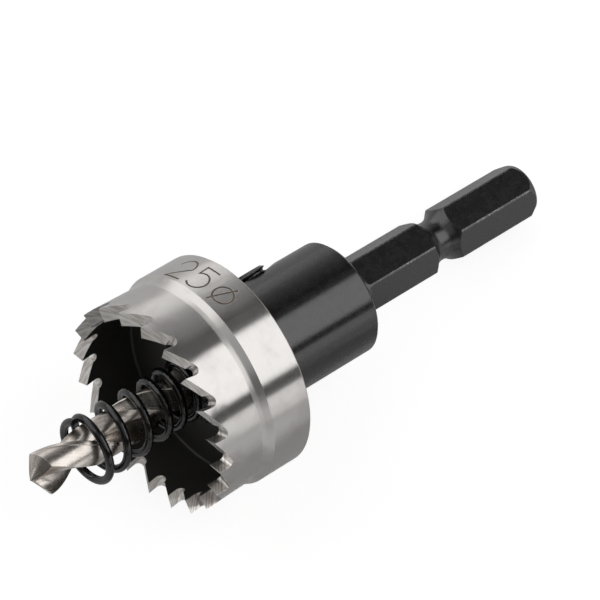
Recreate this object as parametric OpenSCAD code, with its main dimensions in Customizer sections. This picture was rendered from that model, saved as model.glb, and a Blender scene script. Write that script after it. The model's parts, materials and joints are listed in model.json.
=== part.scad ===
// Hole saw for sheet metal: a one-piece toothed cup on an arbor with a hexagonal shank, a pilot drill held
// by a clamping screw, and an ejector spring round the drill.
// Every piece is built along one tool axis, +Z towards the shank, with the tooth tips at z = 0 and +X at the
// top of the tool as it lies. The whole tool is then laid on its flange and on the end of its shank.

/* [Cup] */
// Diameter over the tooth tips
cut_d = 25; // [22:0.5:30]
// Radius that the toothed ring loses for each millimetre behind its tips
ring_relief = 0.03; // [0:0.005:0.04]
// Wall thickness of the toothed ring at its tips
ring_wall = 1.65; // [1.2:0.05:2.2]
// Length from the tooth tips to the start of the step
ring_len = 6.2; // [5:0.1:7]
// Length of the sloping step between the ring and the flange
step_len = 1.3; // [1:0.1:2]
// Length of the steeper last stretch of the step
step_knee_len = 0.75; // [0.2:0.05:0.8]
// Rise of the radius over that last stretch
step_knee_rise = 0.41; // [0.1:0.01:0.5]
// Diameter of the flange behind the step
flange_d = 25.7; // [25.4:0.1:26.6]
// Depth inside the cup, from the tooth tips to its floor
cup_depth = 6.9; // [6:0.1:9]
// Thickness of the cup's solid base
base_t = 5.85; // [4:0.05:8]
// Fillet between the cup's floor and its wall
floor_fillet = 0.3; // [0.1:0.05:0.8]
// Chamfer on the rear rim of the flange
rim_chamfer = 0.18; // [0.1:0.02:0.4]

/* [Teeth] */
// Number of teeth round the ring
teeth = 20; // [14:1:24]
// Depth of the gullets
gullet_depth = 1.95; // [1.4:0.05:2.2]
// Radius at the root of each gullet
gullet_r = 0.62; // [0.3:0.01:0.8]
// Angle by which each tooth face leans back under its tip
rake = 8; // [0:1:12]
// Angle of the first tooth tip round the axis, from the top of the tool
tooth_phase = -4.7; // [-9:0.01:9]

/* [Size mark] */
// Depth of the engraved strokes
mark_depth = 0.13; // [0.05:0.01:0.2]
// Width of the engraved strokes
mark_stroke = 0.22; // [0.12:0.02:0.3]
// Angle of the middle of the mark round the axis, from the top of the tool
mark_angle = -28.8; // [-60:0.2:60]
// Distance from the cup's rear face to the middle of the mark
mark_setback = 3.07; // [2.2:0.01:3.4]

/* [Arbor] */
// Diameter of the spigot that passes through the cup's base
spigot_d = 10; // [9:0.5:12]
// Gap on the radius between the spigot and the cup's base
spigot_gap = 0.01; // [0.01:0.01:0.05]
// Diameter of the hub
hub_d = 13.86; // [13:0.02:18]
// Length of the hub behind the cup
hub_len = 15.45; // [14:0.05:24]
// Bevel on the hub's rear edge
hub_bevel = 0.35; // [0.1:0.05:0.8]
// Gap on the radius between the pilot drill and its bore
drill_gap = 0.05; // [0.01:0.01:0.1]
// Room left behind the pilot drill in its bore
bore_room = 0.5; // [0.2:0.1:2]
// Depth of the milled flat round the clamping screw
seat_depth = 0.21; // [0.1:0.01:0.5]
// Length of the milled flat from the hub's front face
seat_len = 9.2; // [9:0.05:11]
// Radius of the run-out behind that flat
seat_runout = 5; // [3:0.5:8]

/* [Shank] */
// Length of the shank behind the hub
shank_len = 28.2; // [24:0.2:40]
// Width of the shank across its flats
hex_af = 6.25; // [6:0.05:7]
// Radius taken off the shank's six edges
edge_cut = 0.057; // [0.03:0.001:0.1]
// Length of the round neck between the hub and the six flats
neck_len = 2.5; // [2:0.1:4]
// Radius of the run-out at the front of each flat
flat_runout = 1.2; // [0.8:0.1:3]
// Fillet between the neck and the hub's rear face
neck_fillet = 1.4; // [0.5:0.1:1.8]
// Distance from the shank's end to the middle of the groove
groove_setback = 13.95; // [9:0.05:16]
// Diameter at the bottom of the groove
groove_d = 4.92; // [4.5:0.02:5.4]
// Radius of the groove's section
groove_r = 2.5; // [1.5:0.1:4]
// Length of the bevel on the shank's end
end_bevel_len = 1; // [0.5:0.1:2]
// Radius lost over that bevel
end_bevel_drop = 0.53; // [0.46:0.01:0.9]

/* [Pilot drill] */
// Diameter of the pilot drill
drill_d = 4.9; // [4:0.1:5]
// Distance from the tooth tips forward to the drill's point
drill_reach = 15.8; // [12:0.2:20]
// Length of the drill inside the hub, from the cup's rear face
drill_grip = 12.25; // [11:0.25:12.5]
// Axial length of one full turn of the flutes
flute_lead = 26; // [20:0.5:34]
// Length of the flutes, from the drill's point
flute_len = 25.5; // [24:0.5:27]
// Thickness of the core between the two flutes
web_t = 0.9; // [0.7:0.05:1.2]
// Angle of the drill's land round its axis
land_angle = 80; // [75:1:100]
// Angle of the narrow margin that runs along each land
margin_angle = 12; // [8:1:20]
// Depth by which the land is relieved behind its margin
land_relief = 0.08; // [0.04:0.01:0.15]
// Included angle of the drill's point
point_angle = 118; // [110:1:130]
// Fall of the ground point from the lip's corner to the heel behind it
flank_drop = 0.54; // [0.3:0.02:0.8]
// Angle of the first lip round the axis, from the top of the tool
lip_phase = -62.1; // [-90:0.1:90]

/* [Ejector spring] */
// Diameter of the spring wire
wire_d = 0.95; // [0.7:0.05:1]
// Mean diameter of the spring's front coil
coil_front_d = 7.45; // [6.8:0.05:9]
// Mean diameter of the spring's rear coils
coil_rear_d = 6.26; // [6.2:0.02:8]
// Distance from the tooth tips forward to the wire's free end
spring_reach = 8.6; // [6:0.1:10]
// Turns of the spring that taper down to the rear diameter
taper_turns = 3.9; // [2:0.1:5]
// Pitch of the closed front coil
closed_pitch = 0.96; // [0.9:0.01:1.2]
// Pitch of the open coils
open_pitch = 3.17; // [2.4:0.01:3.4]
// Turns of the closed front coil
front_turns = 0.81; // [0.5:0.01:1.2]
// Turns from the free end to where the open coils start to close up
open_turns = 3.4; // [3:0.01:4.5]
// Pitch of the rear coils
rear_pitch = 2.06; // [1:0.01:2.4]
// Distance by which the spring's free end hangs off the tool's axis
sag = 0.53; // [0:0.01:0.6]
// Angle towards which it hangs, from the top of the tool
sag_angle = 136; // [-180:1:180]
// Turns from the free end over which the sag fades out
sag_turns = 5.5; // [4:0.1:7]
// Angle of the wire's free end round the axis, from the top of the tool
spring_phase = -44.6; // [-180:0.1:180]

/* [Clamping screw] */
// Nominal diameter of the screw
screw_d = 4; // [4:0.5:5]
// Length of the screw
screw_len = 5.05; // [4.6:0.05:8]
// Gap on the radius between the screw and its hole
screw_gap = 0.05; // [0.02:0.01:0.1]
// Distance from the cup's rear face to the screw's axis
screw_setback = 7; // [6:0.05:8]
// Angle of the screw round the axis, from the top of the tool
screw_angle = -73.2; // [-90:0.1:90]
// Width of the screw's socket across its flats
socket_af = 2; // [2:0.5:2.5]
// Depth of the socket
socket_depth = 1.8; // [1:0.1:3]
// Length of the bevel on both ends of the screw
screw_bevel = 0.27; // [0.2:0.01:0.6]
// Radius lost over that bevel
screw_bevel_drop = 0.45; // [0.3:0.01:0.6]

/* [Hidden] */

// Cup
eps = 0.01;
tip_r = cut_d / 2;
ring_in_r = tip_r - ring_wall;
flange_r = flange_d / 2;
ring_end_r = tip_r - ring_relief * ring_len;
cup_len = cup_depth + base_t;
spigot_r = spigot_d / 2;

// Teeth
tooth_pitch = 360 / teeth;
root_s = gullet_depth - gullet_r;
root_u = root_s * tan(rake) - gullet_r / cos(rake);
root_ahead = tip_r * sin(tooth_pitch) + root_u;
relief_angle = atan2(root_s, root_ahead) + asin(gullet_r / norm([root_s, root_ahead]));
tooth_room = gullet_depth + 1;

// Size mark, in millimetres round the flange and along the axis from the middle of the mark
digit_two_u = -3.4;
digit_five_u = -0.1;
ring_u = 3.5;
bowl_r = 1.27;
ring_mark_r = 1.18;
mark_top = 1.75;
mark_foot = -1.72;

// Arbor
hub_r = hub_d / 2;
hub_rear = cup_len + hub_len;
tool_len = hub_rear + shank_len;
drill_r = drill_d / 2;
bore_r = drill_r + drill_gap;
drill_rear = cup_len + drill_grip;
bore_cone = 59;

// Pilot drill
lip_slope = 1 / tan(point_angle / 2);
corner_s = drill_r * lip_slope;
core_r = web_t / 2 * 1.12;
corner_a = face_a(drill_r);
heel_a = corner_a + land_angle;
heel_r = drill_r - land_relief;
flute_steps = 8;
flute_runout = 3;
flute_end = flute_len + flute_runout;

// Shank
flat_r = hex_af / 2;
bar_r = flat_r / cos(30) - edge_cut;
end_r = bar_r - end_bevel_drop;
groove_s = tool_len - groove_setback;
flat_start = hub_rear + neck_len;

// Screw
screw_r = screw_d / 2;
screw_s = cup_len + screw_setback;
seat_r = hub_r - seat_depth;

// Spring
wire_r = wire_d / 2;
coil_steps = 20;
wire_sides = 10;
blend_turns = 0.3;
coil_front_r = coil_front_d / 2;
coil_rear_r = coil_rear_d / 2;
spring_front = -spring_reach;
spring_rear = cup_depth - wire_r;

// The tool as it lies: it touches down with the flange's rim and with the end of one flat of the shank
rim_s = cup_len - rim_chamfer;
heel_s = tool_len - (flat_r - end_r) * end_bevel_len / end_bevel_drop;
tilt = atan((flange_r - flat_r) / (heel_s - rim_s));
lift = rim_s * sin(tilt) + flange_r * cos(tilt);
front_x = -drill_reach * cos(tilt);
rear_x = tool_len * cos(tilt) + end_r * sin(tilt);

$fn = 96;

// Lays the tool down, with its shank to +X and its middle above the origin
module lay_down() {
    translate([-(front_x + rear_x) / 2, 0, lift])
        rotate([0, 90 + tilt, 0])
            rotate([0, 0, 180])
                children();
}

// Extrudes a flat outline (x round the axis, y along it) outwards along the radius
module radially(from_r, to_r) {
    translate([from_r, 0, 0])
        rotate([90, 0, 90])
            linear_extrude(to_r - from_r)
                children();
}

// A ring of fillet or arc points, from angle a to angle b about a centre
function arc(cx, cy, r, a, b, n) = [for (i = [0 : n]) let (t = a + (b - a) * i / n) [cx + r * cos(t), cy + r * sin(t)]];

// Cup

module cup_blank() {
    rotate_extrude()
        polygon(concat(
            [
                [spigot_r + spigot_gap, cup_depth],
                [ring_in_r - floor_fillet, cup_depth]
            ],
            arc(ring_in_r - floor_fillet, cup_depth - floor_fillet, floor_fillet, 75, 0, 5),
            [
                [ring_in_r, 0],
                [tip_r, 0],
                [ring_end_r, ring_len],
                [flange_r - step_knee_rise, ring_len + step_len - step_knee_len],
                [flange_r, ring_len + step_len],
                [flange_r, cup_len - rim_chamfer],
                [flange_r - rim_chamfer, cup_len],
                [spigot_r + spigot_gap, cup_len]
            ]
        ));
}

// The slot along one tooth's face, round at its root
module face_slot() {
    across = gullet_r * [cos(rake), -sin(rake)];
    rise = [-tan(rake) * tooth_room, -tooth_room];
    root = [root_u, root_s];
    radially(ring_in_r - 1, tip_r + 1)
        polygon(concat(
            [root - across + rise, root + across + rise],
            arc(root_u, root_s, gullet_r, -rake, 180 - rake, 10)
        ));
}

// The sloping back of one tooth, from its tip to the next tooth's root
module tooth_back() {
    reach = root_ahead;
    slope = tan(relief_angle);
    back_end = root_u - gullet_r * sin(relief_angle);
    intersection() {
        radially(ring_in_r - 2, tip_r + 2)
            polygon([[-1, -slope], [reach, slope * reach], [reach, -tooth_room], [-1, -tooth_room]]);
        rotate([0, 0, tooth_pitch])
            radially(ring_in_r - 2, tip_r + 4)
                polygon([
                    [back_end, tooth_room],
                    [back_end - 2 * reach, tooth_room],
                    [back_end - 2 * reach, -tooth_room],
                    [back_end, -tooth_room]
                ]);
    }
}

// A point of a path moved to its side, along the mitre between the path's two directions there
function beside(path, i, off) =
    let(
        into = path[max(i, 1)] - path[max(i, 1) - 1],
        out = path[min(i + 1, len(path) - 1)] - path[min(i, len(path) - 2)],
        mean = into / norm(into) + out / norm(out),
        side = [-mean[1], mean[0]] / norm(mean)
    )
    path[i] + side * off / (side * [-into[1], into[0]]) * norm(into);

// An engraved line of even width along a path
module stroke(path) {
    half = mark_stroke / 2;
    last = len(path) - 1;
    polygon(concat(
        [for (i = [0 : last]) beside(path, i, half)],
        [for (i = [last : -1 : 0]) beside(path, i, -half)]
    ));
}

module digit_two() {
    stroke(concat(arc(0, 0.52, bowl_r, 172, -8, 12), [[-1.05, mark_foot], [1.45, mark_foot]]));
}

module digit_five() {
    bowl = arc(0, -0.5, bowl_r, -138, 132, 16);
    stem_x = bowl[len(bowl) - 1][0] - 0.1;
    stroke(concat(bowl, [[stem_x, mark_top], [1.05, mark_top]]));
}

module diameter_sign() {
    difference() {
        circle(ring_mark_r + mark_stroke / 2, $fn = 40);
        circle(ring_mark_r - mark_stroke / 2, $fn = 40);
    }
    stroke([[-0.83, -1.69], [0.45, 1.73]]);
}

// One character of the mark, cut in from outside at its place round the flange
module engraved(at_u) {
    rotate([0, 0, mark_angle + at_u * 180 / (PI * flange_r)])
        translate([0, 0, cup_len - mark_setback])
            radially(flange_r - 1, flange_r + 1)
                children();
}

module size_mark() {
    difference() {
        union() {
            engraved(digit_two_u)
                digit_two();
            engraved(digit_five_u)
                digit_five();
            engraved(ring_u)
                diameter_sign();
        }
        cylinder(r = flange_r - mark_depth, h = cup_len);
    }
}

module cutter_cup() {
    color("silver")
        lay_down()
            difference() {
                cup_blank();
                for (i = [0 : teeth - 1])
                    rotate([0, 0, tooth_phase + i * tooth_pitch]) {
                        face_slot();
                        tooth_back();
                    }
                size_mark();
            }
}

// Arbor

// One of the shank's flats with the run-out at its front
module shank_flat() {
    translate([flat_r, -bar_r, flat_start])
        cube([bar_r, 2 * bar_r, shank_len]);
    translate([flat_r + flat_runout, 0, flat_start])
        rotate([90, 0, 0])
            cylinder(r = flat_runout, h = 2 * bar_r, center = true);
}

// The milled flat round the clamping screw, with its run-out behind it
module screw_seat() {
    translate([seat_r, -hub_r, cup_len])
        cube([hub_r, 2 * hub_r, seat_len]);
    translate([seat_r + seat_runout, 0, cup_len + seat_len])
        rotate([90, 0, 0])
            cylinder(r = seat_runout, h = 2 * hub_r, center = true);
}

module hub() {
    rotate_extrude()
        polygon(concat(
            [
                [0, cup_depth],
                [spigot_r, cup_depth],
                [spigot_r, cup_len],
                [hub_r, cup_len],
                [hub_r, hub_rear - hub_bevel],
                [hub_r - hub_bevel, hub_rear]
            ],
            arc(bar_r + neck_fillet, hub_rear + neck_fillet, neck_fillet, 270, 180, 8),
            [
                [bar_r, tool_len - end_bevel_len],
                [end_r, tool_len],
                [0, tool_len]
            ]
        ));
}

module arbor() {
    color("#2a2a2c")
        lay_down()
            difference() {
                hub();
                for (a = [0 : 60 : 300])
                    rotate([0, 0, a])
                        shank_flat();
                translate([0, 0, groove_s])
                    rotate_extrude()
                        translate([groove_d / 2 + groove_r, 0])
                            circle(groove_r);
                translate([0, 0, cup_depth - 1])
                    cylinder(r = bore_r, h = drill_rear + bore_room - cup_depth + 1);
                translate([0, 0, drill_rear + bore_room - eps])
                    cylinder(r1 = bore_r, r2 = 0, h = bore_r / tan(bore_cone));
                rotate([0, 0, screw_angle]) {
                    screw_seat();
                    translate([0, 0, screw_s])
                        rotate([0, 90, 0])
                            cylinder(r = screw_r + screw_gap, h = hub_r + 1);
                }
            }
}

// Pilot drill

// Angle of the flute's cutting face at radius r: the curve that leaves a straight lip on the ground point
function face_a(r) = -asin(web_t / 2 / r) + 360 * (drill_r - r) * lip_slope / flute_lead;

// One point of the fluted section, as its radius and its angle from the lip that it belongs to
function half_section() = concat(
    [for (i = [0 : 2]) [drill_r, corner_a + margin_angle * i / 2]],
    [for (i = [0 : 6]) [heel_r, corner_a + margin_angle + (land_angle - margin_angle) * i / 6]],
    [for (i = [1 : flute_steps])
        let (t = i / flute_steps)
        [core_r + (heel_r - core_r) * pow(1 - t, 1.7), heel_a + (180 + face_a(core_r) - heel_a) * t]],
    [for (i = [1 : flute_steps - 1])
        let (r = core_r + (drill_r - core_r) * i / flute_steps)
        [r, 180 + face_a(r)]]
);

// Slope of the ground point towards angle a: the lip's own at the lip, falling away to the heel behind it
function flank_slope(a) =
    let (behind = max(0, a - corner_a), rest = 180 - land_angle)
    lip_slope + flank_drop / drill_r
        * (behind < land_angle ? pow(behind / land_angle, 1.8) : max(0, 1 - (behind - land_angle) / rest));

function drill_point(r, a, s) =
    let (turned = lip_phase + a + 360 * (min(s, flute_end) - corner_s) / flute_lead)
    [r * cos(turned), r * sin(turned), s - drill_reach];

module pilot_drill() {
    half = half_section();
    section = concat([for (p = half) [p[0], p[1], p[1]]], [for (p = half) [p[0], p[1] + 180, p[1]]]);
    count = len(section);
    first_s = corner_s + flank_drop + 0.3;
    rings = 20;
    levels = concat(
        [for (k = [0 : rings]) [first_s + (flute_len - first_s) * k / rings, 0]],
        [for (k = [1 : 3]) [flute_len + k * flute_runout / 3, k / 3]],
        [[drill_reach + drill_rear, 1]]
    );
    points = concat(
        [[0, 0, -drill_reach]],
        [for (p = section) drill_point(p[0], p[1], p[0] * flank_slope(p[2]))],
        [for (level = levels, p = section)
            drill_point(p[0] + (drill_r - p[0]) * level[1], p[1], level[0])],
        [[0, 0, drill_rear]]
    );
    last = len(levels) * count;
    faces = concat(
        [for (i = [0 : count - 1]) [0, 1 + i, 1 + (i + 1) % count]],
        [for (k = [0 : len(levels) - 1], i = [0 : count - 1], upper = [0, 1])
            let (j = (i + 1) % count, a = 1 + k * count, b = a + count)
            upper == 1 ? [a + i, b + i, b + j] : [a + i, b + j, a + j]],
        [for (i = [0 : count - 1]) [len(points) - 1, 1 + last + (i + 1) % count, 1 + last + i]]
    );
    color("#c9c3b8")
        lay_down()
            polyhedron(points, faces);
}

// Ejector spring

// How far a value has risen that starts to climb at turn a and reaches its full rate at turn b
function eased(u, a, b) =
    u < a ? 0 :
    u < b ? (u - a) * (u - a) / (2 * (b - a)) :
    (b - a) / 2 + u - b;

// Place along the axis of the wire's centre, u turns from its free end
function coil_s(u) =
    spring_front + closed_pitch * u
    + (open_pitch - closed_pitch) * eased(u, front_turns, front_turns + blend_turns)
    - (open_pitch - rear_pitch) * eased(u, open_turns, open_turns + blend_turns);

function coil_r(u) = coil_front_r + (coil_rear_r - coil_front_r) * min(1, u / taper_turns);

// Distance of the coil's own centre from the tool's axis, u turns from the wire's free end
function coil_sag(u) = sag * max(0, 1 - u / sag_turns) * [cos(sag_angle), sin(sag_angle), 0];

// The turn at which the wire reaches the cup's floor
spring_turns = open_turns + blend_turns
    + (spring_rear - coil_s(open_turns + blend_turns)) / rear_pitch;

// One ring of points round the wire, u turns from its free end; the coil winds to the left
function wire_ring(u) =
    let (
        a = spring_phase - 360 * u,
        out = [cos(a), sin(a), 0]
    )
    [for (i = [0 : wire_sides - 1])
        let (w = 360 * i / wire_sides)
        coil_sag(u) + (coil_r(u) + wire_r * cos(w)) * out + [0, 0, coil_s(u) + wire_r * sin(w)]];

module ejector_spring() {
    rings = ceil(spring_turns * coil_steps);
    points = [for (k = [0 : rings]) each wire_ring(spring_turns * k / rings)];
    side_faces = [for (k = [0 : rings - 1], i = [0 : wire_sides - 1])
        let (j = (i + 1) % wire_sides)
        [
            k * wire_sides + i,
            (k + 1) * wire_sides + i,
            (k + 1) * wire_sides + j,
            k * wire_sides + j
        ]];
    front_face = [for (i = [0 : wire_sides - 1]) i];
    rear_face = [for (i = [wire_sides - 1 : -1 : 0]) rings * wire_sides + i];
    color("#1d1d1f")
        lay_down()
            polyhedron(points, concat([front_face], side_faces, [rear_face]));
}

// Clamping screw

module clamp_screw() {
    socket_r = socket_af / 2 / cos(30);
    color("#242426")
        lay_down()
            rotate([0, 0, screw_angle])
                translate([drill_r, 0, screw_s])
                    rotate([0, 90, 0])
                        difference() {
                            rotate_extrude()
                                polygon([
                                    [0, 0],
                                    [screw_r - screw_bevel_drop, 0],
                                    [screw_r, screw_bevel],
                                    [screw_r, screw_len - screw_bevel],
                                    [screw_r - screw_bevel_drop, screw_len],
                                    [0, screw_len]
                                ]);
                            translate([0, 0, screw_len - socket_depth])
                                cylinder(r = socket_r, h = socket_depth + 1, $fn = 6);
                        }
}

cutter_cup();
arbor();
pilot_drill();
ejector_spring();
clamp_screw();
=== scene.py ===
"""Looks of a hole saw for sheet metal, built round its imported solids.

The tool lies on its flange and on the end of its shank. Sizes in the tool's own frame are in millimetres:
s runs along the tool's axis from the tooth tips towards the shank, and angles turn about that axis from the
top of the tool, in degrees. The scene itself is in metres, in the frame of the solids.
"""

import json
import logging
import math
from abc import ABC, abstractmethod
from dataclasses import dataclass
from enum import Enum
from functools import partial, reduce
from typing import Any, ClassVar, Mapping, Optional, Sequence

import bmesh
import bpy
from mathutils import Matrix, Vector

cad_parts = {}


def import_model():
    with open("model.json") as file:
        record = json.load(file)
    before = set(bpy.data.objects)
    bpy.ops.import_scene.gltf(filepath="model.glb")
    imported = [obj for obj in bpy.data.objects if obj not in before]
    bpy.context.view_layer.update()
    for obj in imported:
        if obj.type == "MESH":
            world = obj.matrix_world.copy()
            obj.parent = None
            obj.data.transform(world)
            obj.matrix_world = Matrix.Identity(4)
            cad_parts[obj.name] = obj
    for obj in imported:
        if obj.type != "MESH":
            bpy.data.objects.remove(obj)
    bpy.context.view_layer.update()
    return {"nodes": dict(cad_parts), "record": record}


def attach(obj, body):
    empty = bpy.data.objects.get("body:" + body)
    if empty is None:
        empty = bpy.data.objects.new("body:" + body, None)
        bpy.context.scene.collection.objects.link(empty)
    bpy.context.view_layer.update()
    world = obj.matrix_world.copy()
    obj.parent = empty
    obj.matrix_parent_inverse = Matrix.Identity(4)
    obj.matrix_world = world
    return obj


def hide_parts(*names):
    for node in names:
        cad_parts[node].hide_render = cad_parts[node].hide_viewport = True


LOG = logging.getLogger("hole_saw")
MM = 0.001
BODY = "root"
FLUTE_LEAD = 26.0

Socket = bpy.types.NodeSocket
Point = tuple[float, float, float]
Face = tuple[int, ...]


class Lay(Enum):
    """Direction of a finish's fine lines on the tool."""

    AROUND = "around the axis"
    ALONG = "along the axis"
    FLUTES = "along the flutes"


class Seen(Enum):
    """Which rays meet a studio card, besides none of the camera's."""

    BY_LIGHT = "by every ray that lights the tool"
    IN_REFLECTIONS = "only by rays off a glossy surface"


# Small helpers


def srgb(code: str) -> tuple[float, float, float, float]:
    """Turn an sRGB hex colour into linear RGBA.

    Args:
        code: the colour as "#rrggbb".

    Returns:
        The four linear components.
    """
    parts = [int(code[i : i + 2], 16) / 255 for i in (1, 3, 5)]
    linear = [c / 12.92 if c <= 0.04045 else ((c + 0.055) / 1.055) ** 2.4 for c in parts]
    return (*linear, 1.0)


def grey(level: float) -> tuple[float, float, float, float]:
    """Return a linear grey as RGBA."""
    return (level, level, level, 1.0)


def add_node(
    tree: bpy.types.NodeTree,
    kind: str,
    inputs: Optional[Mapping[Any, Any]] = None,
    **options: Any,
) -> bpy.types.Node:
    """Add one shader node with its settings and its incoming links.

    Args:
        tree: the node tree that the node joins.
        kind: the node's type name.
        inputs: values to set or sockets to link from, by input name or number.
        options: the node's own options, by attribute name.

    Returns:
        The new node.
    """
    node = tree.nodes.new(kind)
    for name, value in options.items():
        setattr(node, name, value)
    for name, value in (inputs or {}).items():
        if isinstance(value, Socket):
            tree.links.new(value, node.inputs[name])
        else:
            node.inputs[name].default_value = value
    return node


def new_material(name: str) -> tuple[bpy.types.Material, bpy.types.Node]:
    """Make a node material.

    Args:
        name: the material's name.

    Returns:
        The material and its principled shader.
    """
    material = bpy.data.materials.new(name)
    material.use_nodes = True
    return material, material.node_tree.nodes["Principled BSDF"]


def replace_shader(material: bpy.types.Material, shader: bpy.types.Node, surface: Socket) -> None:
    """Put another surface in the place of a material's principled shader.

    Args:
        material: the material.
        shader: its principled shader, which is removed.
        surface: the socket of the surface that is shown instead.
    """
    tree = material.node_tree
    tree.nodes.remove(shader)
    tree.links.new(surface, tree.nodes["Material Output"].inputs["Surface"])


def mix_value(tree: bpy.types.NodeTree, factor: Socket, low: Any, high: Any, colour: bool = False) -> Socket:
    """Mix two numbers or colours by a factor.

    Args:
        tree: the node tree.
        factor: 0 gives low and 1 gives high.
        low: a number, a colour or a socket.
        high: a number, a colour or a socket.
        colour: whether the two are colours.

    Returns:
        The mixed value's socket.
    """
    kind, first, result = ("RGBA", 6, 2) if colour else ("FLOAT", 2, 0)
    inputs = {0: factor, first: low, first + 1: high}
    return add_node(tree, "ShaderNodeMix", inputs, data_type=kind).outputs[result]


def add_object(name: str, data: bpy.types.ID) -> bpy.types.Object:
    """Put a mesh or a camera into the scene.

    Args:
        name: the object's name.
        data: what the object shows.

    Returns:
        The new object.
    """
    thing = bpy.data.objects.new(name, data)
    bpy.context.scene.collection.objects.link(thing)
    return thing


def ring_faces(rings: int, around: int, first: int = 0) -> list[Face]:
    """List the quads that join rings of equally many points, each ring closed on itself.

    Args:
        rings: the number of rings.
        around: the number of points in a ring.
        first: the index of the first ring's first point.

    Returns:
        The faces.
    """
    return [
        (a, a - i + (i + 1) % around, a - i + (i + 1) % around + around, a + around)
        for k in range(rings - 1)
        for i in range(around)
        for a in (first + k * around + i,)
    ]


def polar(r: float, degrees: float, s: float) -> Point:
    """Place a point round the tool's axis.

    Args:
        r: the radius.
        degrees: the angle from the top of the tool.
        s: the place along the axis.

    Returns:
        The point, in tool millimetres.
    """
    return (r * math.cos(math.radians(degrees)), r * math.sin(math.radians(degrees)), s)


# The tool's own frame


@dataclass(frozen=True)
class ToolFrame:
    """The tool's axis frame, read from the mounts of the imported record."""

    axis: Vector
    top: Vector
    origin: Vector
    length: ClassVar[float] = 56.4

    @classmethod
    def from_record(cls, record: Mapping[str, Any]) -> "ToolFrame":
        """Build the frame from the shank's end and the direction of its top flat.

        Args:
            record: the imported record.

        Returns:
            The frame, with its origin on the axis in the plane of the tooth tips.
        """
        mounts = {mount["name"]: mount for mount in record["mounts"]}
        axis = Vector(mounts["shank"]["axis"]).normalized()
        top = Vector(mounts["shank_flat"]["axis"])
        top = (top - top.dot(axis) * axis).normalized()
        origin = Vector(mounts["shank"]["pos_m"]) - cls.length * MM * axis
        return cls(axis=axis, top=top, origin=origin)

    def matrix(self) -> Matrix:
        """Find the matrix from tool millimetres to scene metres.

        Returns:
            The 4 by 4 matrix.
        """
        side = self.axis.cross(self.top)
        turn = Matrix((self.top, side, self.axis)).transposed().to_4x4()
        return Matrix.Translation(self.origin) @ turn @ Matrix.Scale(MM, 4)

    def add_piece(
        self, name: str, points: Sequence[Point], faces: Sequence[Face], sharp: float
    ) -> bpy.types.Object:
        """Make a smooth-shaded object from points in tool millimetres.

        Args:
            name: the object's name.
            points: the vertices.
            faces: the faces.
            sharp: the angle in degrees above which an edge stays crisp.

        Returns:
            The new object, with its mesh in scene metres.
        """
        matrix = self.matrix()
        mesh = bpy.data.meshes.new(name)
        mesh.from_pydata([matrix @ Vector(p) for p in points], [], faces)
        form = bmesh.new()
        form.from_mesh(mesh)
        bmesh.ops.recalc_face_normals(form, faces=form.faces)
        for face in form.faces:
            face.smooth = True
        for edge in form.edges:
            edge.smooth = edge.calc_face_angle(math.pi) < math.radians(sharp)
        form.to_mesh(mesh)
        form.free()
        return add_object(name, mesh)


# Shader coordinates


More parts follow.
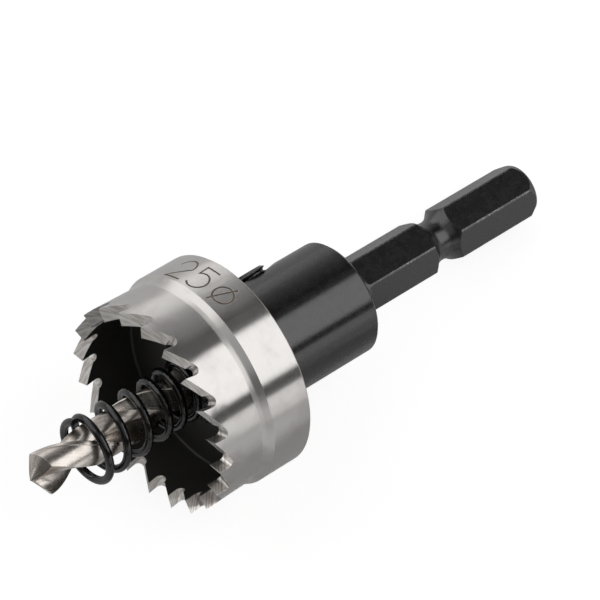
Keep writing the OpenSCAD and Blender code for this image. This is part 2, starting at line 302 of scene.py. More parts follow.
@dataclass
class ToolCoordinates:
    """Sockets that give a shader its place on the tool, in tool millimetres."""

    tree: bpy.types.NodeTree
    frame: ToolFrame

    def __post_init__(self) -> None:
        """Add the nodes that turn object coordinates and normals into tool coordinates."""
        turn = self.frame.matrix().to_3x3().normalized().to_euler()
        self.place = add_node(self.tree, "ShaderNodeTexCoord").outputs["Object"]
        self.world_normal = add_node(self.tree, "ShaderNodeNewGeometry").outputs["Normal"]
        to_tool = {
            "Vector": self.place,
            "Location": self.frame.origin,
            "Rotation": turn,
            "Scale": (MM, MM, MM),
        }
        self.point = add_node(self.tree, "ShaderNodeMapping", to_tool, vector_type="TEXTURE").outputs[0]
        x, y, self.s = self.split(self.point)
        flat = add_node(self.tree, "ShaderNodeCombineXYZ", {"X": x, "Y": y}).outputs[0]
        self.radius = self.vector("LENGTH", flat, output="Value")
        turned = {"Vector": self.world_normal, "Rotation": turn}
        normal = add_node(self.tree, "ShaderNodeMapping", turned, vector_type="TEXTURE").outputs[0]
        outward = self.vector("NORMALIZE", flat)
        self.normal_out = self.vector("DOT_PRODUCT", normal, outward, output="Value")

    def split(self, vector: Socket) -> tuple[Socket, Socket, Socket]:
        """Split a vector socket into its three parts."""
        outputs = add_node(self.tree, "ShaderNodeSeparateXYZ", {"Vector": vector}).outputs
        return outputs[0], outputs[1], outputs[2]

    def math(self, operation: str, *inputs: Any) -> Socket:
        """Combine sockets or numbers with one math operation."""
        return add_node(self.tree, "ShaderNodeMath", dict(enumerate(inputs)), operation=operation).outputs[0]

    def vector(self, operation: str, *inputs: Any, output: str = "Vector") -> Socket:
        """Combine sockets or vectors with one vector operation."""
        node = add_node(self.tree, "ShaderNodeVectorMath", dict(enumerate(inputs)), operation=operation)
        return node.outputs[output]

    def mix(self, mask: Socket, low: Any, high: Any) -> Socket:
        """Mix two numbers, each plain or a socket, by a mask."""
        return mix_value(self.tree, mask, low, high)

    def tint(self, mask: Socket, low: str | Socket, high: str | Socket) -> Socket:
        """Mix two colours, each a hex code or a socket, by a mask."""
        sides = [srgb(side) if isinstance(side, str) else side for side in (low, high)]
        return mix_value(self.tree, mask, *sides, colour=True)

    def ramp(
        self, value: Socket, low: float, high: float, to_low: float = 0.0, to_high: float = 1.0
    ) -> Socket:
        """Map a value smoothly from one range to another, clamped at both ends.

        Args:
            value: the value.
            low: where the range starts.
            high: where the range ends, which may lie below its start.
            to_low: the result at the start.
            to_high: the result at the end.

        Returns:
            The mapped value's socket.
        """
        inputs = {"Value": value, "From Min": low, "From Max": high, "To Min": to_low, "To Max": to_high}
        return add_node(self.tree, "ShaderNodeMapRange", inputs, interpolation_type="SMOOTHSTEP").outputs[0]

    def band(self, value: Socket, low: float, high: float, soft: float) -> Socket:
        """Mask a range of a value.

        Args:
            value: the value.
            low: where the range starts.
            high: where the range ends.
            soft: half the width of its soft edges.

        Returns:
            A mask that is 1 inside the range and 0 outside.
        """
        rise = self.ramp(value, low - soft, low + soft)
        fall = self.ramp(value, high - soft, high + soft, 1.0, 0.0)
        return self.all_of(rise, fall)

    def all_of(self, *masks: Socket) -> Socket:
        """Keep what lies in every mask."""
        return reduce(partial(self.math, "MULTIPLY"), masks)

    def any_of(self, *masks: Socket) -> Socket:
        """Keep what lies in at least one mask."""
        return reduce(partial(self.math, "MAXIMUM"), masks)

    def noise(self, vector: Socket, detail: float = 2.0) -> Socket:
        """Return noise over a vector that is already scaled."""
        inputs = {"Vector": vector, "Scale": 1.0, "Detail": detail, "Roughness": 0.6}
        return add_node(self.tree, "ShaderNodeTexNoise", inputs).outputs["Fac"]

    def spots(self, size: float, detail: float = 2.0) -> Socket:
        """Return even noise in spots of a size in millimetres."""
        return self.noise(self.vector("MULTIPLY", self.point, (1 / size, 1 / size, 1 / size)), detail)

    def lines(self, lay: Lay, width: float, length: float, detail: float = 2.0) -> Socket:
        """Draw noise out into the fine lines of a lay.

        Args:
            lay: the direction of the lines.
            width: the width of a line in millimetres.
            length: its length in millimetres.
            detail: the number of finer layers in the noise.

        Returns:
            The noise's socket.
        """
        across, along = 1 / width, 1 / length
        if lay is Lay.AROUND:
            return self.noise(self.vector("MULTIPLY", self.point, (along, along, across)), detail)
        straight = self.point
        if lay is Lay.FLUTES:
            angle = self.math("MULTIPLY", self.s, -2 * math.pi / FLUTE_LEAD)
            inputs = {"Vector": self.point, "Angle": angle}
            node = add_node(self.tree, "ShaderNodeVectorRotate", inputs, rotation_type="Z_AXIS")
            straight = node.outputs[0]
        return self.noise(self.vector("MULTIPLY", straight, (across, across, along)), detail)

    def across_turning(self) -> Socket:
        """Find the direction in the surface that runs across the lines round the axis.

        Returns:
            The tangent for a shader whose highlights those lines stretch.
        """
        offset = self.vector("SUBTRACT", self.place, self.frame.origin)
        line = self.vector("CROSS_PRODUCT", self.frame.axis, offset)
        return self.vector("NORMALIZE", self.vector("CROSS_PRODUCT", line, self.world_normal))

    def relief(self, height: Socket, depth: float, edge: float | Socket) -> Socket:
        """Give the surface a relief and softly broken edges.

        Args:
            height: the relief, from 0 to 1.
            depth: its depth in millimetres.
            edge: the radius in millimetres to which edges are broken.

        Returns:
            The normal's socket.
        """
        radius = self.math("MULTIPLY", edge, MM) if isinstance(edge, Socket) else edge * MM
        rounded = add_node(self.tree, "ShaderNodeBevel", {"Radius": radius}, samples=6).outputs["Normal"]
        inputs = {"Strength": 1.0, "Distance": depth * MM, "Height": height, "Normal": rounded}
        return add_node(self.tree, "ShaderNodeBump", inputs).outputs["Normal"]


# Finishes


@dataclass(frozen=True)
class Finish(ABC):
    """A real material and the way its surface was made, drawn with nodes."""

    name: str

    @abstractmethod
    def paint(self, at: ToolCoordinates, shader: bpy.types.Node) -> None:
        """Draw the finish on a shader.

        Args:
            at: the shader's place on the tool.
            shader: the principled shader.
        """

    def make(self, tool: ToolFrame) -> bpy.types.Material:
        """Build the material.

        Args:
            tool: the tool's frame.

        Returns:
            The finished material.
        """
        material, shader = new_material(self.name)
        self.paint(ToolCoordinates(material.node_tree, tool), shader)
        return material


def connect(shader: bpy.types.Node, sockets: Mapping[str, Socket]) -> None:
    """Link sockets to a shader's inputs by name."""
    for name, socket in sockets.items():
        shader.id_data.links.new(socket, shader.inputs[name])


@dataclass(frozen=True)
class GroundToolSteel(Finish):
    """High-speed steel, turned and ground, near-black and dull inside the cup, and with an engraved mark."""

    name: str = "high_speed_steel_turned_and_ground"
    bright: str = "#dbd8d5"
    stained: str = "#b8aeb1"
    tooth: str = "#f6f3ef"
    lined: str = "#c9c2bc"
    inside_colour: str = "#2b2a26"
    engraved: str = "#83766b"
    roughness: float = 0.25
    smoother: float = 0.01
    duller: float = 0.015
    ground_roughness: float = 0.32
    inside_roughness: float = 0.45
    cut_roughness: float = 0.55
    mark_dulled: float = 0.8
    anisotropy: float = 1.0
    step_anisotropy: float = 0.5
    inner_r: float = 10.9
    flange_r: float = 12.85
    mark_depth: float = 0.13
    tooth_depth: float = 2.0
    step_front: float = 6.2
    step_rear: float = 7.5
    rear: float = 12.75
    rim: float = 0.14
    edge: float = 0.05
    step_edge: float = 0.3
    relief: float = 0.0005
    line_width: float = 0.0833
    line_length: float = 20.0
    streak_width: float = 0.1111
    streak_length: float = 8.33
    cloud_size: float = 4.545
    blotch_size: float = 0.769
    grinding_out: float = 2.2
    grinding_along: float = 2.6
    grinding_shift: float = 9.0

    def paint(self, at: ToolCoordinates, shader: bpy.types.Node) -> None:
        """Draw the finish on a shader.

        Args:
            at: the shader's place on the tool.
            shader: the principled shader.
        """
        # Where each way of making the surface shows, and where the inside of the cup is
        steep = at.math("ABSOLUTE", at.normal_out)
        inside = at.ramp(at.radius, self.inner_r, self.inner_r - 0.03)
        tooth = at.all_of(
            at.ramp(at.s, self.tooth_depth + 0.2, self.tooth_depth),
            at.ramp(steep, 0.75, 0.55),
            at.ramp(at.radius, self.inner_r, self.inner_r + 0.03),
        )
        step = at.band(at.s, self.step_front, self.step_rear, 0.05)
        knee = at.band(at.s, self.step_front - 0.15, self.step_rear - 0.12, 0.1)
        floor = self.flange_r - self.mark_depth
        mark = at.all_of(
            at.ramp(at.radius, floor + 0.08, floor + 0.04),
            at.ramp(at.s, self.step_rear + 0.05, self.step_rear + 0.2),
            at.ramp(at.radius, floor - 0.3, floor - 0.1),
        )
        rim = at.all_of(
            at.ramp(at.s, self.rear - self.rim - 0.08, self.rear - self.rim),
            at.ramp(at.radius, self.flange_r - 0.2, self.flange_r - 0.15),
        )

        # Real turning lines are a few hundredths of a millimetre wide and are drawn coarser, so that they
        # show. They run round the axis, and draw each reflection out into a crisp band along it.
        fine = at.lines(Lay.AROUND, self.line_width, self.line_length)
        streaks = at.lines(Lay.AROUND, self.streak_width, self.streak_length, 3.0)

        # The tooth faces are ground across: a paler grey, crossed by slanting scratches that change from
        # face to face.
        slant = at.math(
            "ADD",
            at.math("MULTIPLY", at.radius, self.grinding_out),
            at.math("MULTIPLY", at.s, self.grinding_along),
        )
        shift = at.math("MULTIPLY", at.normal_out, self.grinding_shift)
        scratch = add_node(at.tree, "ShaderNodeCombineXYZ", {"X": slant, "Y": shift}).outputs[0]
        grinding = at.noise(scratch)

        # Hardening and handling leave faint warm clouds on the bright metal.
        blotches = at.math("MULTIPLY", at.spots(self.blotch_size, 4.0), 0.25)
        stain = at.ramp(at.math("ADD", at.spots(self.cloud_size), blotches), 0.55, 0.9, 0.0, 0.5)

        colour = at.tint(stain, self.bright, self.stained)
        colour = at.tint(tooth, colour, at.tint(at.ramp(grinding, 0.32, 0.62), self.lined, self.tooth))
        colour = at.tint(mark, colour, self.engraved)
        # The whole inside of the cup is coloured near-black here, and is made rougher and not metallic
        # further down, so it shows much darker than the outside.
        colour = at.tint(inside, colour, self.inside_colour)

        worn = at.ramp(streaks, 0.3, 0.7)
        rough = at.mix(worn, self.roughness - self.smoother, self.roughness + self.duller)
        rough = at.mix(at.any_of(step, tooth), rough, self.ground_roughness)
        rough = at.mix(at.any_of(rim, mark), rough, self.cut_roughness)
        rough = at.mix(inside, rough, self.inside_roughness)

        dull = at.any_of(inside, at.math("MULTIPLY", mark, self.mark_dulled))
        unturned = at.any_of(inside, tooth, rim, mark, at.ramp(steep, 0.6, 0.45))
        drawn = at.mix(unturned, at.mix(step, self.anisotropy, self.step_anisotropy), 0.0)
        turned = at.math("ADD", at.math("MULTIPLY", fine, 0.5), streaks)
        height = at.mix(tooth, turned, at.math("MULTIPLY", grinding, 1.5))
        connect(
            shader,
            {
                "Base Color": colour,
                "Metallic": at.mix(dull, 1.0, 0.0),
                "Roughness": rough,
                "Anisotropic": drawn,
                "Tangent": at.across_turning(),
                "Normal": at.relief(height, self.relief, at.mix(knee, self.edge, self.step_edge)),
            },
        )


@dataclass(frozen=True)
class BlackOxideSteel(Finish):
    """Steel, turned or drawn, under a satin black oxide layer."""

    name: str = "turned_steel_with_black_oxide"
    colour: str = "#080809"
    worn: str = "#8d8b89"
    ior: float = 1.85
    roughness: float = 0.26
    smoother: float = 0.02
    duller: float = 0.03
    anisotropy: float = 0.8
    shank_start: float = 30.0
    corner_r: float = 3.551
    groove_start: float = 41.0
    groove_end: float = 44.0
    edge: float = 0.08
    relief: float = 0.0025
    turning_width: float = 0.1429
    turning_length: float = 20.0
    drawing_width: float = 0.1667
    drawing_length: float = 6.67
    speck_size: float = 0.1429
    rubbed_size: float = 2.0
    satin_size: float = 0.909

    def paint(self, at: ToolCoordinates, shader: bpy.types.Node) -> None:
        """Draw the finish on a shader.

        Args:
            at: the shader's place on the tool.
            shader: the principled shader.
        """
        shank = at.ramp(at.s, self.shank_start - 0.3, self.shank_start + 0.3)
        groove = at.band(at.s, self.groove_start, self.groove_end, 0.1)

        # The oxide is near black with soft grey highlights. Turning lines stretch them on the hub, and the
        # hexagon keeps the lines of its drawn bar, both drawn a little coarser than the real ones.
        turned = at.lines(Lay.AROUND, self.turning_width, self.turning_length)
        drawn = at.lines(Lay.ALONG, self.drawing_width, self.drawing_length)
        bar = at.all_of(shank, at.math("SUBTRACT", 1.0, groove))
        satin = at.ramp(at.spots(self.satin_size, 4.0), 0.3, 0.7)

        # Along the hexagon's corners the layer is rubbed through to bright metal in small specks.
        rubbed = at.all_of(
            shank,
            at.ramp(at.radius, self.corner_r - 0.05, self.corner_r - 0.01),
            at.ramp(at.spots(self.speck_size, 3.0), 0.48, 0.6),
            at.ramp(at.spots(self.rubbed_size), 0.35, 0.55),
        )
        # The oxide's own IOR is about 2.4, and the oil in its pores brings it down.
        shader.inputs["IOR"].default_value = self.ior
        connect(
            shader,
            {
                "Base Color": at.tint(rubbed, self.colour, self.worn),
                "Metallic": rubbed,
                "Roughness": at.mix(satin, self.roughness - self.smoother, self.roughness + self.duller),
                "Anisotropic": at.mix(shank, self.anisotropy, 0.0),
                "Tangent": at.across_turning(),
                "Normal": at.relief(at.mix(bar, turned, drawn), self.relief, self.edge),
            },
        )


@dataclass(frozen=True)
class BrightDrillSteel(Finish):
    """High-speed steel, ground bright along the flutes and round the shank."""

    name: str = "ground_drill_steel"
    bright: str = "#d8d1ca"
    stain: str = "#94857a"
    roughness: float = 0.26
    smoother: float = 0.04
    duller: float = 0.08
    land_r: float = 2.3
    edge: float = 0.04
    relief: float = 0.0035
    flute_width: float = 0.2
    flute_length: float = 4.0
    round_width: float = 0.125
    round_length: float = 10.0
    patch_size: float = 2.0

    def paint(self, at: ToolCoordinates, shader: bpy.types.Node) -> None:
        """Draw the finish on a shader.

        Args:
            at: the shader's place on the tool.
            shader: the principled shader.
        """
        # Warm grey metal: lines follow the flutes and run round the lands, drawn coarser than the real ones,
        # and a straw-brown stain from the heat of grinding lies in patches. The patches are laid on more
        # thickly in the flutes, which makes the flutes browner and darker than the lands.
        flute = at.ramp(at.radius, self.land_r, self.land_r - 0.1)
        lines = at.lines(Lay.FLUTES, self.flute_width, self.flute_length, 3.0)
        around = at.lines(Lay.AROUND, self.round_width, self.round_length)
        patches = at.math(
            "ADD",
            at.math("MULTIPLY", at.spots(self.patch_size, 4.0), 0.7),
            at.math("MULTIPLY", lines, 0.3),
        )
        # The patches count three times as much in the flutes as on the lands, so the flutes come out darker.
        stain = at.all_of(at.ramp(patches, 0.42, 0.66), at.mix(flute, 0.3, 0.9))
        dull = at.ramp(patches, 0.35, 0.65)
        shader.inputs["Metallic"].default_value = 1.0
        connect(
            shader,
            {
                "Base Color": at.tint(stain, self.bright, self.stain),
                "Roughness": at.mix(dull, self.roughness - self.smoother, self.roughness + self.duller),
                "Normal": at.relief(at.mix(flute, around, lines), self.relief, self.edge),
            },
        )


@dataclass(frozen=True)
class OiledSpringWire(Finish):
    """Hard-drawn spring wire, blackened in oil."""

    name: str = "oil_blackened_spring_wire"
    colour: str = "#0b0b0c"
    mottled: str = "#1b1a19"
    ior: float = 1.6
    roughness: float = 0.12
    smoother: float = 0.03
    duller: float = 0.07
    edge: float = 0.02
    relief: float = 0.0012
    mottle_size: float = 0.3333
    line_width: float = 0.1667
    line_length: float = 3.333

    def paint(self, at: ToolCoordinates, shader: bpy.types.Node) -> None:
        """Draw the finish on a shader.

        Args:
            at: the shader's place on the tool.
            shader: the principled shader.
        """
        # Glossy black with long narrow highlights, which the die's faint lines and the oil's mottling break
        # up. The lines are drawn coarser than the real ones. The IOR is that of oil over a thin oxide.
        mottle = at.spots(self.mottle_size, 4.0)
        dull = at.ramp(mottle, 0.35, 0.7)
        lines = at.lines(Lay.AROUND, self.line_width, self.line_length)
        shader.inputs["IOR"].default_value = self.ior
        connect(
            shader,
            {
                "Base Color": at.tint(at.ramp(mottle, 0.5, 0.75), self.colour, self.mottled),
                "Roughness": at.mix(dull, self.roughness - self.smoother, self.roughness + self.duller),
                "Normal": at.relief(lines, self.relief, self.edge),
            },
        )


# Pieces


@dataclass(frozen=True)
class Piece:
    """A piece of the tool and its finish."""

    node: str
    finish: Finish

    def dress(self, thing: bpy.types.Object, tool: ToolFrame) -> None:
        """Give every material slot of the piece its finish.

        Args:
            thing: the piece's object.
            tool: the tool's frame.
        """
        material = self.finish.make(tool)
        if not thing.material_slots:
            thing.data.materials.append(material)
        for slot in thing.material_slots:
            slot.material = material
        LOG.info("%s: %d faces in %s", thing.name, len(thing.data.polygons), self.finish.name)


@dataclass(frozen=True)
class CutterCup(Piece):
    """The cup with its teeth, step and flange, which keeps its solid's own mesh."""

    node: str = "cutter_cup"
    finish: Finish = GroundToolSteel()


@dataclass(frozen=True)
class Arbor(Piece):
    """The arbor with its hub and its hexagonal shank, which keeps its solid's own mesh."""

    node: str = "arbor"
    finish: Finish = BlackOxideSteel()


@dataclass(frozen=True)
class FinePiece(Piece, ABC):
    """A piece that is built finer than its solid and takes its place."""

    name: str
    slot: str

    @abstractmethod
    def build(self, tool: ToolFrame) -> bpy.types.Object:
        """Build the piece.

        Args:
            tool: the tool's frame.

        Returns:
            The piece's object.
        """

    def dress(self, thing: bpy.types.Object, tool: ToolFrame) -> None:
        """Give the piece its finish and put it in its solid's place.

        Args:
            thing: the piece's object.
            tool: the tool's frame.
        """
        super().dress(thing, tool)
        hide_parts(self.node)
        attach(thing, BODY)


@dataclass(frozen=True)
class PilotDrill(FinePiece):
    """The two-flute pilot drill with its margins, relieved lands and ground point."""

    node: str = "pilot_drill"
    finish: Finish = BrightDrillSteel()
    name: str = "pilot_drill_ground"
    slot: str = "drill_steel"
    radius: float = 2.45
    reach: float = 15.8
    rear: float = 25.0
    flute_len: float = 25.5
    runout: float = 3.0
    web: float = 0.9
    core_growth: float = 1.12
    land: float = 80.0
    margin: float = 12.0
    margin_edge: float = 1.5
    relief: float = 0.08
    flute_curve: float = 1.7
    point_angle: float = 118.0
    flank_drop: float = 0.54
    facet: float = 0.5
    facet_rise: float = 0.03
    ridge_least: float = 0.2
    ridge_most: float = 0.8
    collar: float = 0.3
    phase: float = -62.1
    sharp: float = 14.0
    facet_rings: int = 4
    flute_rings: int = 60
    runout_rings: int = 6

    @property
    def lip_slope(self) -> float:
        """Length along the axis that the lip falls back for each millimetre of radius."""
        return 1 / math.tan(math.radians(self.point_angle / 2))

    @property
    def corner(self) -> float:
        """Length along the axis from the tip back to the lip's outer corner."""
        return self.radius * self.lip_slope

    def face_angle(self, r: float) -> float:
        """Return the angle of the flute's cutting face at a radius, from the lip's own direction."""
        lean = 360 * (self.radius - r) * self.lip_slope / FLUTE_LEAD
        return lean - math.degrees(math.asin(self.web / 2 / r))

    def half_section(self) -> list[tuple[float, float]]:
        """List half of the section: margin, relieved land, flute back and cutting face.

        Returns:
            Pairs of radius and angle, in order round the drill.
        """
        core = self.web / 2 * self.core_growth
        lip = self.face_angle(self.radius)
        heel = lip + self.land
        heel_r = self.radius - self.relief
        valley = 180 + self.face_angle(core)
        relieved = lip + self.margin + self.margin_edge
        relieved_len = self.land - self.margin - self.margin_edge
        points = [(self.radius, lip + self.margin * i / 3) for i in range(4)]
        points += [(heel_r, relieved + relieved_len * i / 12) for i in range(13)]
        for i in range(1, 19):
            r = core + (heel_r - core) * (1 - i / 18) ** self.flute_curve
            points.append((r, heel + (valley - heel) * i / 18))
        step = (self.radius - core) / 14
        points += [(core + step * i, 180 + self.face_angle(core + step * i)) for i in range(1, 14)]
        return points

    def flank(self, r: float, angle: float) -> float:
        """Find how far the ground point lies behind its tip.

        Args:
            r: the radius.
            angle: the angle from the lip.

        Returns:
            The distance along the axis.
        """
        lip = self.face_angle(self.radius)
        behind = max(0.0, r * math.sin(math.radians(angle)) + self.web / 2)
        heel = (self.radius - self.relief) * math.sin(math.radians(lip + self.land)) + self.web / 2
        slope = (self.flank_drop - self.facet_rise) / (heel - self.facet)
        drop = self.facet_rise * min(behind, self.facet) / self.facet + slope * max(0.0, behind - self.facet)
        past = max(0.0, angle - lip - self.land) / (180 - self.land)
        return r * self.lip_slope + drop * max(0.0, 1 - past)

    def ridge(self, r: float, angle: float) -> float:
        """Find where along a radius the point's two facets meet.

        Args:
            r: the radius.
            angle: the angle from the lip.

        Returns:
            The share of the radius.
        """
        rise = math.sin(math.radians(angle))
        if rise <= 0:
            return self.ridge_most
        away = self.facet - self.web / 2
        return min(self.ridge_most, max(self.ridge_least, away / (rise * r)))

    def place(self, r: float, angle: float, s: float) -> Point:
        """Place a point of the twisted section.

        Args:
            r: the radius.
            angle: the angle from the lip.
            s: the distance behind the tip.

        Returns:
            The point, in tool millimetres.
        """
        twisted = min(s, self.flute_len + self.runout) - self.corner
        return polar(r, self.phase + angle + 360 * twisted / FLUTE_LEAD, s - self.reach)

    def point_rings(self, section: Sequence[Point]) -> list[list[Point]]:
        """Place the rings of the ground point, from near the tip to the end of its collar.

        Args:
            section: the radius, the angle and the half turn of each point of the section.

        Returns:
            The rings of points.
        """
        n = self.facet_rings
        rings = []
        for k in range(1, 2 * n + 1):
            ring = []
            for r, angle, half in section:
                ridge = self.ridge(r, angle)
                share = ridge * k / n if k <= n else ridge + (1 - ridge) * (k - n) / n
                ring.append(self.place(r * share, angle + half, self.flank(r * share, angle)))
            rings.append(ring)
        end = self.corner + self.flank_drop + self.collar
        for k in range(1, n + 1):
            ring = []
            for r, angle, half in section:
                flank = self.flank(r, angle)
                ring.append(self.place(r, angle + half, flank + (end - flank) * k / n))
            rings.append(ring)
        return rings

    def body_rings(self, section: Sequence[Point]) -> list[list[Point]]:
        """Place the rings of the flutes, their run-out and the plain shank.

        Args:
            section: the radius, the angle and the half turn of each point of the section.

        Returns:
            The rings of points.
        """
        start = self.corner + self.flank_drop + self.collar
        fluted = (self.flute_len - start) / self.flute_rings
        levels = [(start + fluted * k, 0.0) for k in range(1, self.flute_rings + 1)]
        n = self.runout_rings
        levels += [(self.flute_len + self.runout * k / n, k / n) for k in range(1, n + 1)]
        levels += [(self.reach + self.rear, 1.0)]
        return [
            [self.place(r + (self.radius - r) * fill, angle + half, s) for r, angle, half in section]
            for s, fill in levels
        ]

    def build(self, tool: ToolFrame) -> bpy.types.Object:
        """Build the drill.

        Args:
            tool: the tool's frame.

        Returns:
            The drill's object.
        """
        section = [(r, angle, 180.0 * half) for half in (0, 1) for r, angle in self.half_section()]
        around = len(section)
        rings = self.point_rings(section) + self.body_rings(section)
        points: list[Point] = [(0.0, 0.0, -self.reach)]
        for ring in rings:
            points += ring
        points.append((0.0, 0.0, self.rear))
        last = 1 + (len(rings) - 1) * around
        faces = [(0, 1 + i, 1 + (i + 1) % around) for i in range(around)]
        faces += ring_faces(len(rings), around, 1)
        faces += [(len(points) - 1, last + (i + 1) % around, last + i) for i in range(around)]
        return tool.add_piece(self.name, points, faces, self.sharp)


@dataclass(frozen=True)
class EjectorSpring(FinePiece):
    """The left-hand spring of round wire, closed at its free end and sagging a little off the axis."""

    node: str = "ejector_spring"
    finish: Finish = OiledSpringWire()
    name: str = "ejector_spring_wire"
    slot: str = "spring_steel"
    wire: float = 0.95
    front_d: float = 7.45
    rear_d: float = 6.26
    reach: float = 8.6
    floor: float = 6.9
    taper: float = 3.9
    closed_pitch: float = 0.96
    open_pitch: float = 3.17
    rear_pitch: float = 2.06
    front_turns: float = 0.81
    open_turns: float = 3.4
    blend: float = 0.3
    sag: float = 0.53
    sag_angle: float = 136.0
    sag_turns: float = 5.5
    phase: float = -44.6
    sharp: float = 40.0
    sides: int = 20
    steps: int = 44

    def eased(self, turn: float, start: float) -> float:
        """Add up a rate that sets in softly over the blend.

        Args:
            turn: the number of turns from the free end.
            start: the turn at which the rate starts to set in.

        Returns:
            The number of turns that count at the full rate.
        """
        past = turn - start
        if past <= 0:
            return 0.0
        return past * past / (2 * self.blend) if past < self.blend else past - self.blend / 2

    def along(self, turn: float) -> float:
        """Find the wire's place along the axis.

        Args:
            turn: the number of turns from the free end.

        Returns:
            The place, in tool millimetres.
        """
        opened = (self.open_pitch - self.closed_pitch) * self.eased(turn, self.front_turns)
        closed = (self.open_pitch - self.rear_pitch) * self.eased(turn, self.open_turns)
        return -self.reach + self.closed_pitch * turn + opened - closed

    def build(self, tool: ToolFrame) -> bpy.types.Object:
        """Build the wire as a closed tube.

        Args:
            tool: the tool's frame.

        Returns:
            The spring's object.
        """
        thick = self.wire / 2
        settled = self.open_turns + self.blend
        turns = settled + (self.floor - thick - self.along(settled)) / self.rear_pitch
        rings = math.ceil(turns * self.steps) + 1
        points: list[Point] = []
        for k in range(rings):
            turn = turns * k / (rings - 1)
            r = (self.front_d + (self.rear_d - self.front_d) * min(1.0, turn / self.taper)) / 2
            hang = self.sag * max(0.0, 1 - turn / self.sag_turns)
            sag_x, sag_y, _ = polar(hang, self.sag_angle, 0.0)
            for i in range(self.sides):
                w = 2 * math.pi * i / self.sides
                x, y, s = polar(r + thick * math.cos(w), self.phase - 360 * turn, self.along(turn))
                points.append((x + sag_x, y + sag_y, s + thick * math.sin(w)))
        faces = ring_faces(rings, self.sides)
        faces.append(tuple(range(self.sides)))
        faces.append(tuple(reversed(range((rings - 1) * self.sides, rings * self.sides))))
        return tool.add_piece(self.name, points, faces, self.sharp)


@dataclass(frozen=True)
class ClampScrew(FinePiece):
    """The headless clamping screw with its rolled thread and hexagonal socket."""

    node: str = "clamp_screw"
    finish: Finish = BlackOxideSteel(name="rolled_screw_steel_with_black_oxide", colour="#090909")
    name: str = "clamp_screw_threaded"
    slot: str = "screw_steel"
    radius: float = 2.0
    pitch: float = 0.7
    thread_depth: float = 0.36
    crest: float = 0.08
    flank: float = 0.3
    length: float = 5.05
    foot: float = 2.45
    place: float = 19.75
    angle: float = -73.2
    bevel: float = 0.27
    bevel_drop: float = 0.45
    socket: float = 2.0
    socket_depth: float = 1.8
    mouth: float = 0.12
    mouth_wider: float = 0.1
    socket_cone: float = 0.3
    sharp: float = 35.0
    around: int = 96
    steps: int = 84

    def thread(self, height: float, turn: float) -> float:
        """Find the screw's radius, with its thread and its bevelled ends.

        Args:
            height: the height above the screw's foot.
            turn: the share of a turn round the screw.

        Returns:
            The radius.
        """
        phase = (height / self.pitch - turn) % 1.0
        flank = min(1.0, max(0.0, (abs(phase - 0.5) - self.crest) / self.flank))
        end = min(height, self.length - height)
        bevel = self.radius - self.bevel_drop * max(0.0, 1 - end / self.bevel)
        return min(bevel, self.radius - self.thread_depth * flank)

    def socket_ring(self, height: float, wider: float = 0.0) -> list[Point]:
        """Place a ring of points on the hexagonal socket's wall.

        Args:
            height: the height above the screw's foot.
            wider: how much wider the socket is there.

        Returns:
            The points, in the screw's own frame.
        """
        ring = []
        for i in range(self.around):
            degrees = 360 * i / self.around
            r = self.socket / 2 / math.cos(math.radians(degrees % 60 - 30))
            ring.append(polar(r + wider, degrees, height))
        return ring

    def build(self, tool: ToolFrame) -> bpy.types.Object:
        """Build the screw.

        Args:
            tool: the tool's frame.

        Returns:
            The screw's object.
        """
        n = self.around
        own: list[Point] = []
        for k in range(self.steps + 1):
            height = self.length * k / self.steps
            own += [polar(self.thread(height, i / n), 360 * i / n, height) for i in range(n)]
        bottom = self.length - self.socket_depth
        own += self.socket_ring(self.length, self.mouth_wider)
        own += self.socket_ring(self.length - self.mouth)
        own += self.socket_ring(bottom)
        own += [(0.0, 0.0, bottom - self.socket_cone), (0.0, 0.0, 0.0)]
        rings = self.steps + 4
        last = (rings - 1) * n
        faces = ring_faces(rings, n)
        faces += [(last + i, last + (i + 1) % n, len(own) - 2) for i in range(n)]
        faces += [((i + 1) % n, i, len(own) - 1) for i in range(n)]
        turn = Matrix.Rotation(math.radians(self.angle), 4, "Z")
        stand = Matrix.Translation((self.foot, 0.0, self.place)) @ Matrix.Rotation(math.pi / 2, 4, "Y")
        points = [tuple(turn @ stand @ Vector(p)) for p in own]
        return tool.add_piece(self.name, points, faces, self.sharp)


# Studio


@dataclass(frozen=True)
class Card:
    """A glowing studio card: a flat rectangle that lights the tool and shows in its finish.

    Its centre, length and width are in millimetres. Facing and side are directions, the second one along
    its length, and its glow fades across its width to a share of itself.
    """

    name: str
    centre: Point
    facing: Point
    side: Point
    length: float
    width: float
    glow: float
    fades_to: float = 1.0
    seen: Seen = Seen.BY_LIGHT

    def glowing(self) -> bpy.types.Material:
        """Make the card's glow.

        Returns:
            The material.
        """
        material, shader = new_material(self.name + "_glow")
        tree = material.node_tree
        place = add_node(tree, "ShaderNodeTexCoord").outputs["UV"]
        across = add_node(tree, "ShaderNodeSeparateXYZ", {"Vector": place}).outputs["Y"]
        inputs = {"Value": across, "To Min": self.glow, "To Max": self.glow * self.fades_to}
        strength = add_node(tree, "ShaderNodeMapRange", inputs, interpolation_type="SMOOTHSTEP").outputs[0]
        light = add_node(tree, "ShaderNodeEmission", {"Strength": strength})
        replace_shader(material, shader, light.outputs[0])
        return material

    def build(self) -> bpy.types.Object:
        """Build the card.

        Returns:
            The card's object.
        """
        facing = Vector(self.facing).normalized()
        long_side = Vector(self.side).normalized()
        short_side = facing.cross(long_side).normalized()
        corners = [
            Vector(self.centre) * MM + (a * self.length * long_side + b * self.width * short_side) * MM / 2
            for a, b in ((-1, -1), (1, -1), (1, 1), (-1, 1))
        ]
        mesh = bpy.data.meshes.new(self.name)
        mesh.from_pydata(corners, [], [(0, 1, 2, 3)])
        layer = mesh.uv_layers.new(name="UVMap")
        for loop, corner in zip(layer.data, ((0, 0), (1, 0), (1, 1), (0, 1))):
            loop.uv = corner
        mesh.materials.append(self.glowing())
        card = add_object(self.name, mesh)
        card.visible_camera = False
        card.visible_diffuse = self.seen is Seen.BY_LIGHT
        card.visible_shadow = False
        return card


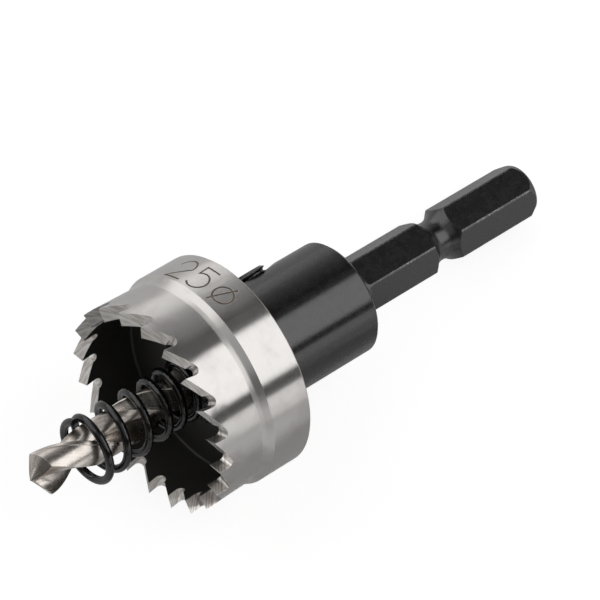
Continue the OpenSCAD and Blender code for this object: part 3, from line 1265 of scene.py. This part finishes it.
@dataclass(frozen=True)
class Floor:
    """A plain studio floor of matt white paper that keeps the tool's soft shadow."""

    name: str = "floor"
    size: float = 1600.0
    white: float = 0.82
    shown_glow: float = 0.85
    shown_white: float = 0.3

    def paper(self) -> bpy.types.Material:
        """Make the paper: the eye gets an even white that only the tool's soft shadow darkens.

        Returns:
            The material.
        """
        material, shader = new_material("matt_white_paper")
        tree = material.node_tree
        paper = add_node(tree, "ShaderNodeBsdfDiffuse", {"Color": grey(self.white)})
        shade = add_node(tree, "ShaderNodeBsdfDiffuse", {"Color": grey(self.shown_white)})
        glow = add_node(tree, "ShaderNodeEmission", {"Strength": self.shown_glow})
        shown = add_node(tree, "ShaderNodeAddShader", {0: shade.outputs[0], 1: glow.outputs[0]})
        ray = add_node(tree, "ShaderNodeLightPath").outputs["Is Camera Ray"]
        mixed = add_node(tree, "ShaderNodeMixShader", {0: ray, 1: paper.outputs[0], 2: shown.outputs[0]})
        replace_shader(material, shader, mixed.outputs[0])
        return material

    def build(self) -> bpy.types.Object:
        """Build the floor.

        Returns:
            The floor's object.
        """
        half = self.size * MM / 2
        corners = [(-half, -half, 0), (half, -half, 0), (half, half, 0), (-half, half, 0)]
        mesh = bpy.data.meshes.new(self.name)
        mesh.from_pydata(corners, [], [(0, 1, 2, 3)])
        mesh.materials.append(self.paper())
        floor = add_object(self.name, mesh)
        return floor


@dataclass(frozen=True)
class StudioAir:
    """The room round the set: white where the camera looks past the floor, dim everywhere else."""

    name: str = "studio_air"
    dim: float = 0.07

    def build(self) -> bpy.types.World:
        """Build the world.

        Returns:
            The scene's world.
        """
        world = bpy.data.worlds.new(self.name)
        bpy.context.scene.world = world
        world.use_nodes = True
        tree = world.node_tree
        background = tree.nodes["Background"]
        ray = add_node(tree, "ShaderNodeLightPath").outputs["Is Camera Ray"]
        colour = mix_value(tree, ray, grey(self.dim), grey(1.0), colour=True)
        tree.links.new(colour, background.inputs["Color"])
        background.inputs["Strength"].default_value = 1.0
        return world


@dataclass(frozen=True)
class PhotoCamera:
    """The camera that the photograph was taken with, as fitted to the tool's outlines."""

    name: str = "photo_camera"
    target: Point = (0.001118, 0.0000695, 0.0168238)
    distance: float = 0.3727225
    azimuth: float = -48.64585
    elevation: float = 66.86624
    roll: float = 11.73088
    lens: float = 203.35756
    sensor: float = 36.0
    nearest: float = 0.01

    def build(self) -> bpy.types.Object:
        """Create the camera and make it the scene's own.

        Returns:
            The camera object.
        """
        data = bpy.data.cameras.new(self.name)
        data.lens = self.lens
        data.sensor_width = self.sensor
        data.clip_start = self.nearest
        camera = add_object(self.name, data)
        azimuth, elevation = math.radians(self.azimuth), math.radians(self.elevation)
        level = math.cos(elevation)
        back = Vector((math.sin(azimuth) * level, -math.cos(azimuth) * level, math.sin(elevation)))
        turn = back.to_track_quat("Z", "Y").to_matrix().to_4x4()
        place = Matrix.Translation(Vector(self.target) + self.distance * back)
        camera.matrix_world = place @ turn @ Matrix.Rotation(math.radians(self.roll), 4, "Z")
        bpy.context.scene.camera = camera
        return camera


# The cards of the set, each placed for the band that it draws on the tool

CARDS = (
    # Draws the bright band along the ring, the flange and the hub.
    Card(
        name="key_card",
        centre=(404.2, -223.7, 402.6),
        facing=(-0.6464, 0.3868, -0.6577),
        side=(0.7526, 0.1816, -0.6329),
        length=760.0, width=555.0, glow=1.45,
    ),
    # Draws the grey band below the bright one.
    Card(
        name="low_card",
        centre=(297.3, -525.9, 38.8),
        facing=(-0.518, 0.8515, -0.0812),
        side=(0.7401, 0.3985, -0.5417),
        length=700.0, width=223.0, glow=0.95,
    ),
    # Carries the light on from the low card, in front of the teeth.
    Card(
        name="far_low_card",
        centre=(-142.0, -532.0, 148.0),
        facing=(0.25, 0.93, -0.26),
        side=(1.0, -0.27, 0.0),
        length=500.0, width=200.0, glow=0.65,
    ),
    # Stands for a large window behind the set, which lights the tops of all pieces.
    Card(
        name="window_card",
        centre=(-211.0, 500.0, 854.0),
        facing=(0.0, -1.0, 0.0),
        side=(0.9925, 0.0, -0.1219),
        length=1150.0, width=1600.0, glow=1.15,
    ),
    # Fills in evenly from the ceiling.
    Card(
        name="ceiling_card",
        centre=(-150.0, -120.0, 900.0),
        facing=(0.0, 0.0, -1.0),
        side=(1.0, 0.0, 0.0),
        length=900.0, width=980.0, glow=0.4,
    ),
    # Draws the band on the ring's far side, which fades out towards the bright one.
    Card(
        name="back_card",
        centre=(389.3, 394.8, 257.6),
        facing=(-0.5805, -0.7296, -0.3616),
        side=(0.6822, -0.1933, -0.7051),
        length=800.0, width=651.1, glow=0.45, fades_to=0.0,
    ),
    # Lifts the drill and the teeth a little from the drill's side.
    Card(
        name="fill_card",
        centre=(-560.0, -200.0, 130.0),
        facing=(0.93, 0.33, -0.2),
        side=(-0.33, 0.93, 0.0),
        length=500.0, width=220.0, glow=0.35,
    ),
    # Lies on the floor in front of the tool and darkens the floor's reflection in the polished metal.
    Card(
        name="flag_card",
        centre=(-8.0, -29.0, 0.3),
        facing=(0.0, 0.0, 1.0),
        side=(1.0, 0.0, 0.0),
        length=60.0, width=30.0, glow=0.3, seen=Seen.IN_REFLECTIONS,
    ),
)


def main() -> None:
    """Build and dress the scene's pieces in order."""
    logging.basicConfig(level=logging.INFO, format="%(name)s: %(message)s")
    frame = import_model()
    bpy.context.scene.view_settings.view_transform = "Standard"
    tool = ToolFrame.from_record(frame["record"])
    PhotoCamera().build()
    for kept in (CutterCup(), Arbor()):
        kept.dress(frame["nodes"][kept.node], tool)
    for plan in (PilotDrill(), EjectorSpring(), ClampScrew()):
        piece = plan.build(tool)
        plan.dress(piece, tool)
    StudioAir().build()
    Floor().build()
    for card in CARDS:
        card.build()


if __name__ == "__main__":
    main()
